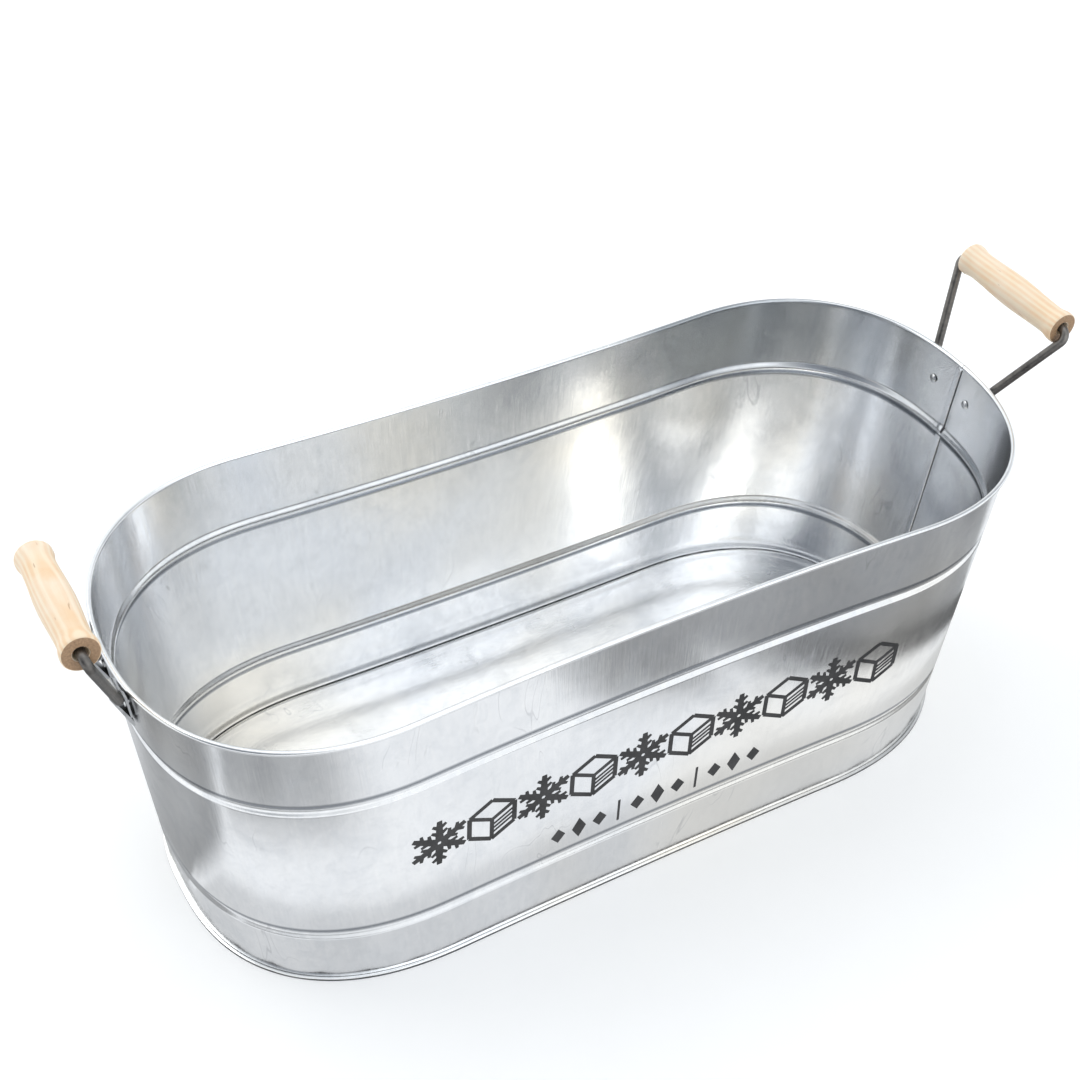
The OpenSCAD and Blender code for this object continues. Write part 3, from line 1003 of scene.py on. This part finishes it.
def studio():
    """A pale room, darker in two directions, with soft broad patches."""
    world = bpy.data.worlds.new("studio")
    bpy.context.scene.world = world
    world.use_nodes = True
    tree = world.node_tree
    sky = tree.nodes["Background"]
    way = tree.nodes.new("ShaderNodeTexCoord").outputs["Generated"]
    colour = None
    for side, low, high, dark in DARK_SIDES:
        dot = tree.nodes.new("ShaderNodeVectorMath")
        dot.operation = "DOT_PRODUCT"
        dot.inputs[1].default_value = Vector(side).normalized()
        tree.links.new(way, dot.inputs[0])
        shaded = tree.nodes.new("ShaderNodeMapRange")
        shaded.interpolation_type = "SMOOTHSTEP"
        shaded.inputs["From Min"].default_value = low
        shaded.inputs["From Max"].default_value = high
        tree.links.new(dot.outputs["Value"], shaded.inputs["Value"])
        mix = tree.nodes.new("ShaderNodeMix")
        mix.data_type = "RGBA"
        mix.inputs[6].default_value = PALE_ROOM
        if colour:
            tree.links.new(colour, mix.inputs[6])
        mix.inputs[7].default_value = (*dark, 1.0)
        tree.links.new(shaded.outputs["Result"], mix.inputs[0])
        colour = mix.outputs[2]
    tree.links.new(colour, sky.inputs["Color"])
    patches = tree.nodes.new("ShaderNodeTexNoise")
    patches.inputs["Scale"].default_value = 2.4
    patches.inputs["Detail"].default_value = 2.0
    tree.links.new(way, patches.inputs["Vector"])
    level = tree.nodes.new("ShaderNodeMapRange")
    level.inputs["From Min"].default_value = 0.35
    level.inputs["From Max"].default_value = 0.65
    level.inputs["To Min"].default_value = 0.78
    level.inputs["To Max"].default_value = 1.22
    tree.links.new(patches.outputs["Fac"], level.inputs["Value"])
    tree.links.new(level.outputs["Result"], sky.inputs["Strength"])


studio()

# Studio cards lie on the floor round the tub and only show as reflections in the metal.
BRIGHT = 0.95  # brightness of the floor that the metal mirrors
CARD_TINT = (0.95, 0.975, 1.0, 1.0)
CARD_STEPS = 60


def card(name, points, faces, height, level, spread, fade):
    """A card that glows only in reflections; where fade is 0 it is as bright as the floor."""
    obj = new_object(name, [(x, y, height) for x, y in points], faces)
    layer = obj.data.attributes.new("fade", "FLOAT", "POINT")
    for i, value in enumerate(fade):
        layer.data[i].value = value
    n = Nodes(name)
    patch = n.noise(n.coords("Object"), 7.0, 2.0, 0.5)
    glow = n.add("ShaderNodeEmission", Color=CARD_TINT)
    strength = n.span(patch, 0.35, 0.65, level - spread, level + spread)
    strength = n.math("MULTIPLY", n.math("SUBTRACT", strength, BRIGHT), n.attribute("fade"))
    n.link(n.math("ADD", strength, BRIGHT), glow.inputs["Strength"])
    n.link(glow.outputs[0], n.tree.nodes["Material Output"].inputs["Surface"])
    paint(obj, n.mat)
    obj.visible_camera = False
    obj.visible_diffuse = False
    obj.visible_shadow = False
    obj.visible_transmission = False


def foot_point(bearing, distance):
    """Point on the floor at this bearing in degrees and this distance in mm from the tub's foot."""
    points, normals = ring_at(0.0)

    def off(k):
        turn = math.degrees(math.atan2(points[k].y, points[k].x)) - bearing
        return abs((turn + 180) % 360 - 180)

    k = min(range(AROUND), key=off)
    return tuple((points[k] + normals[k] * distance) * MM)


def ramp(t, length):
    """Rises from 0 to 1 over this length; 1 where the length is 0."""
    return min(1.0, t / length) if length else 1.0


def round_card(
    name, near, far, height, level, spread, start=0, end=360, feather=0, soft=(0, 0)
):
    """A band card round the foot between two bearings; near and far are its edges' distances.

    Each edge's distance runs from its first value at the start to its second at the end. The card
    fades in over feather mm from its near edge, and over the soft parts of its run at both ends.
    """
    count = 3 if feather else 2
    rows, fades = [[] for _ in range(count)], [[] for _ in range(count)]
    for i in range(CARD_STEPS + 1):
        t = i / CARD_STEPS
        fade = ramp(t, soft[0]) * ramp(1 - t, soft[1])
        fade = fade * fade * (3 - 2 * fade)
        first = near[0] + (near[1] - near[0]) * t
        last = far[0] + (far[1] - far[0]) * t
        distances = (first, first + feather, last) if feather else (first, last)
        for j, distance in enumerate(distances):
            rows[j].append(foot_point(start + (end - start) * t, distance))
            fades[j].append(0.0 if feather and j == 0 else fade)
    faces = []
    for j in range(count - 1):
        for i in range(CARD_STEPS):
            a, b = j * (CARD_STEPS + 1) + i, (j + 1) * (CARD_STEPS + 1) + i
            faces.append((a, a + 1, b + 1, b))
    card(name, sum(rows, []), faces, height, level, spread, sum(fades, []))


round_card("card_contact", (0.95, 0.95), (3.2, 3.2), 0.0010, 0.08, 0.02)
round_card("card_foot", (1, 1), (48, 48), 0.0007, 0.68, 0.05)
round_card("card_bright", (46, 46), (700, 700), 0.0009, BRIGHT, 0.05)
round_card("card_right_front", (122, 80), (420, 420), 0.0016, 0.33, 0.08, 281, 354, 14, (0.2, 0))
round_card("card_right_streak", (106, 44), (140, 78), 0.0024, 0.14, 0.04, 316, 357, soft=(0.25, 0))
round_card("card_left_front", (88, 70), (330, 330), 0.0016, 0.46, 0.10, 222, 181, 36, (0.45, 0))
round_card("card_left_end", (60, 8), (260, 260), 0.0020, 0.32, 0.08, 190, 181, 30, (0.4, 0))
round_card("card_left_far", (8, 8), (260, 260), 0.0020, 0.34, 0.08, 181, 150, soft=(0, 0.7))
round_card("card_back", (95, 75), (380, 380), 0.0016, 0.50, 0.10, 30, 105, 50, (0.35, 0.35))


def softbox(name, place, aim, size, power, colour=(1.0, 1.0, 1.0)):
    """A rectangular lamp at a place, in metres, turned to its aim."""
    data = bpy.data.lights.new(name, "AREA")
    data.shape = "RECTANGLE"
    data.size, data.size_y = size
    data.energy = power
    data.color = colour
    lamp = bpy.data.objects.new(name, data)
    bpy.context.scene.collection.objects.link(lamp)
    lamp.location = place
    lamp.rotation_euler = (Vector(aim) - Vector(place)).to_track_quat("-Z", "Y").to_euler()


softbox("key", (-1.2, 1.4, 2.2), (0, 0, 0.1), (1.6, 1.2), 12, (1.0, 0.99, 0.96))
softbox("fill", (0.6, -2.4, 2.0), (0, 0, 0.1), (2.2, 1.4), 7, (0.95, 0.97, 1.0))
softbox("top", (0.3, 0.2, 2.6), (0, 0, 0), (2.0, 1.0), 5)

# The photograph's view, in metres and degrees.
CAMERA_AT = (-0.4245, -0.6640, 0.8817)
AZIMUTH, ELEVATION, ROLL = -31.093, 41.962, 2.71
LENS = 59.65


def photo_camera():
    """The camera at the photograph's place and angle."""
    data = bpy.data.cameras.new("camera")
    camera = bpy.data.objects.new("camera", data)
    bpy.context.scene.collection.objects.link(camera)
    bpy.context.scene.camera = camera
    azimuth, elevation, roll = (math.radians(angle) for angle in (AZIMUTH, ELEVATION, ROLL))
    back = Vector(
        (
            math.sin(azimuth) * math.cos(elevation),
            -math.cos(azimuth) * math.cos(elevation),
            math.sin(elevation),
        )
    )
    right = (-back).cross(Vector((0, 0, 1))).normalized()
    up = right.cross(-back)
    x_axis = right * math.cos(roll) + up * math.sin(roll)
    y_axis = up * math.cos(roll) - right * math.sin(roll)
    turn = Matrix((x_axis, y_axis, back)).transposed()
    camera.matrix_world = Matrix.Translation(CAMERA_AT) @ turn.to_4x4()
    data.lens = LENS
    data.sensor_width = 36.0
    data.clip_start = 0.01


photo_camera()
bpy.context.scene.view_settings.view_transform = "Standard"
